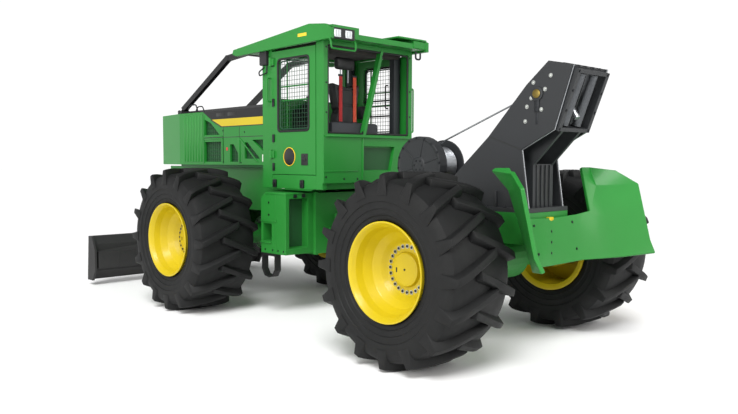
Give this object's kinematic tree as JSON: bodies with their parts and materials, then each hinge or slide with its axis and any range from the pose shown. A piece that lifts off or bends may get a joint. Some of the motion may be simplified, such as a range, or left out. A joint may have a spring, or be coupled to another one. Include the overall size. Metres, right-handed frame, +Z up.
{
  "type": "articulated cable skidder",
  "caption": "Articulated forestry skidder with a closed cab, oscillating front axle, winch and arch with fairlead, log guides and a front stacking blade.",
  "frame": {"origin": "on the ground under the middle of the machine's length and width", "axes": "+X forward towards the blade, +Y to the machine's left, +Z up"},
  "size_m": [7.27, 3.24, 3.25],
  "materials": {
    "green_paint": "gloss",
    "yellow_paint": "gloss",
    "grey_paint": "satin",
    "black_paint": "satin",
    "tyre_rubber": "matte",
    "bare_steel": "satin",
    "seat_fabric": "matte"
  },
  "bodies": {
    "front_frame": {"front_frame": "green_paint", "engine_block": "grey_paint", "hood_left": "green_paint", "hood_right": "green_paint", "hood_top": "black_paint", "front_guard": "green_paint", "limb_risers": "black_paint", "cab_floor": "green_paint", "cab_rear_wall": "green_paint", "cab_front_wall": "green_paint", "cab_roof": "green_paint", "seat_base": "black_paint", "seat_cushion": "seat_fabric", "seat_back": "seat_fabric", "control_console": "black_paint", "battery_box": "green_paint", "fuel_tank": "green_paint", "step_left": "black_paint", "step_right": "black_paint"},
    "front_axle": {"front_axle": "green_paint"},
    "rear_frame": {"rear_frame": "green_paint", "rear_axle": "green_paint", "winch_housing": "grey_paint", "arch": "grey_paint", "butt_plate": "green_paint", "fairlead_frame": "grey_paint", "winch_line": "bare_steel"},
    "winch_drum": {"winch_drum": "grey_paint"},
    "arch_sheave": {"arch_sheave": "grey_paint"},
    "fairlead_roller_left": {"fairlead_roller_left": "bare_steel"},
    "fairlead_roller_right": {"fairlead_roller_right": "bare_steel"},
    "blade": {"blade": "grey_paint"},
    "left_door": {"left_door": "green_paint"},
    "right_door": {"right_door": "green_paint"},
    "wheel_front_left": {"tyre_front_left": "tyre_rubber", "rim_front_left": "yellow_paint"},
    "wheel_front_right": {"tyre_front_right": "tyre_rubber", "rim_front_right": "yellow_paint"},
    "wheel_rear_left": {"tyre_rear_left": "tyre_rubber", "rim_rear_left": "yellow_paint"},
    "wheel_rear_right": {"tyre_rear_right": "tyre_rubber", "rim_rear_right": "yellow_paint"},
    "steering_barrel_left": {"steering_barrel_left": "black_paint"},
    "steering_rod_left": {"steering_rod_left": "bare_steel"},
    "blade_barrel_left": {"blade_barrel_left": "black_paint"},
    "blade_rod_left": {"blade_rod_left": "bare_steel"},
    "steering_barrel_right": {"steering_barrel_right": "black_paint"},
    "steering_rod_right": {"steering_rod_right": "bare_steel"},
    "blade_barrel_right": {"blade_barrel_right": "black_paint"},
    "blade_rod_right": {"blade_rod_right": "bare_steel"}
  },
  "joints": [
    {"name": "front_axle_rock", "type": "hinge", "parent": "front_frame", "child": "front_axle", "pos_m": [1.105, 0, 0.844], "axis": [1, 0, 0], "range_deg": [-15, 15]},
    {"name": "wheel_front_left_spin", "type": "hinge", "parent": "front_axle", "child": "wheel_front_left", "pos_m": [1.105, 1.235, 0.844], "axis": [0, 1, 0], "continuous": true},
    {"name": "wheel_front_right_spin", "type": "hinge", "parent": "front_axle", "child": "wheel_front_right", "pos_m": [1.105, -1.235, 0.844], "axis": [0, 1, 0], "continuous": true},
    {"name": "wheel_rear_left_spin", "type": "hinge", "parent": "rear_frame", "child": "wheel_rear_left", "pos_m": [-2.485, 1.235, 0.844], "axis": [0, 1, 0], "continuous": true},
    {"name": "wheel_rear_right_spin", "type": "hinge", "parent": "rear_frame", "child": "wheel_rear_right", "pos_m": [-2.485, -1.235, 0.844], "axis": [0, 1, 0], "continuous": true},
    {"name": "articulation", "type": "hinge", "parent": "front_frame", "child": "rear_frame", "pos_m": [-0.735, 0, 0.94], "axis": [0, 0, 1], "range_deg": [-45, 45]},
    {"name": "winch_drum_spin", "type": "hinge", "parent": "rear_frame", "child": "winch_drum", "pos_m": [-1.615, -0.06, 1.73], "axis": [0, 1, 0], "continuous": true},
    {"name": "arch_sheave_spin", "type": "hinge", "parent": "rear_frame", "child": "arch_sheave", "pos_m": [-3.105, 0, 2.37], "axis": [0, 1, 0], "continuous": true},
    {"name": "fairlead_roller_left_spin", "type": "hinge", "parent": "rear_frame", "child": "fairlead_roller_left", "pos_m": [-3.23, 0.105, 2.06], "axis": [-0.3551, 0, 0.9348], "continuous": true},
    {"name": "fairlead_roller_right_spin", "type": "hinge", "parent": "rear_frame", "child": "fairlead_roller_right", "pos_m": [-3.23, -0.105, 2.06], "axis": [-0.3551, 0, 0.9348], "continuous": true},
    {"name": "blade_lift", "type": "hinge", "parent": "front_frame", "child": "blade", "pos_m": [2.075, 0, 0.72], "axis": [0, -1, 0], "range_deg": [-8, 20]},
    {"name": "left_door_swing", "type": "hinge", "parent": "front_frame", "child": "left_door", "pos_m": [0.229, 0.725, 0], "axis": [0, 0, -1], "range_deg": [0, 85]},
    {"name": "right_door_swing", "type": "hinge", "parent": "front_frame", "child": "right_door", "pos_m": [0.229, -0.725, 0], "axis": [0, 0, 1], "range_deg": [0, 85]},
    {"name": "steering_barrel_left_turn", "type": "hinge", "parent": "front_frame", "child": "steering_barrel_left", "pos_m": [-0.375, 0.22, 0.94], "axis": [0, 0, 1], "range_deg": [-22, 22]},
    {"name": "steering_rod_left_slide", "type": "slide", "parent": "steering_barrel_left", "child": "steering_rod_left", "axis": [-0.9991, -0.0422, 0], "range_m": [-0.16, 0.16]},
    {"name": "blade_barrel_left_turn", "type": "hinge", "parent": "front_frame", "child": "blade_barrel_left", "pos_m": [2.735, 0.22, 1.5], "axis": [0, -1, 0], "range_deg": [-7, 17]},
    {"name": "blade_rod_left_slide", "type": "slide", "parent": "blade_barrel_left", "child": "blade_rod_left", "axis": [0.5506, 0, -0.8348], "range_m": [-0.36, 0.15]},
    {"name": "steering_barrel_right_turn", "type": "hinge", "parent": "front_frame", "child": "steering_barrel_right", "pos_m": [-0.375, -0.22, 0.94], "axis": [0, 0, 1], "range_deg": [-22, 22]},
    {"name": "steering_rod_right_slide", "type": "slide", "parent": "steering_barrel_right", "child": "steering_rod_right", "axis": [-0.9991, 0.0422, 0], "range_m": [-0.16, 0.16]},
    {"name": "blade_barrel_right_turn", "type": "hinge", "parent": "front_frame", "child": "blade_barrel_right", "pos_m": [2.735, -0.22, 1.5], "axis": [0, -1, 0], "range_deg": [-7, 17]},
    {"name": "blade_rod_right_slide", "type": "slide", "parent": "blade_barrel_right", "child": "blade_rod_right", "axis": [0.5506, 0, -0.8348], "range_m": [-0.36, 0.15]}
  ],
  "couplings": [
    {"joint": "steering_barrel_left_turn", "follows": "articulation", "ratio": 0.48},
    {"joint": "steering_rod_left_slide", "follows": "articulation", "m_per_rad": 0.2},
    {"joint": "blade_barrel_left_turn", "follows": "blade_lift", "ratio": 0.8},
    {"joint": "blade_rod_left_slide", "follows": "blade_lift", "m_per_rad": -1},
    {"joint": "steering_barrel_right_turn", "follows": "articulation", "ratio": 0.48},
    {"joint": "steering_rod_right_slide", "follows": "articulation", "m_per_rad": -0.2},
    {"joint": "blade_barrel_right_turn", "follows": "blade_lift", "ratio": 0.8},
    {"joint": "blade_rod_right_slide", "follows": "blade_lift", "m_per_rad": -1}
  ]
}
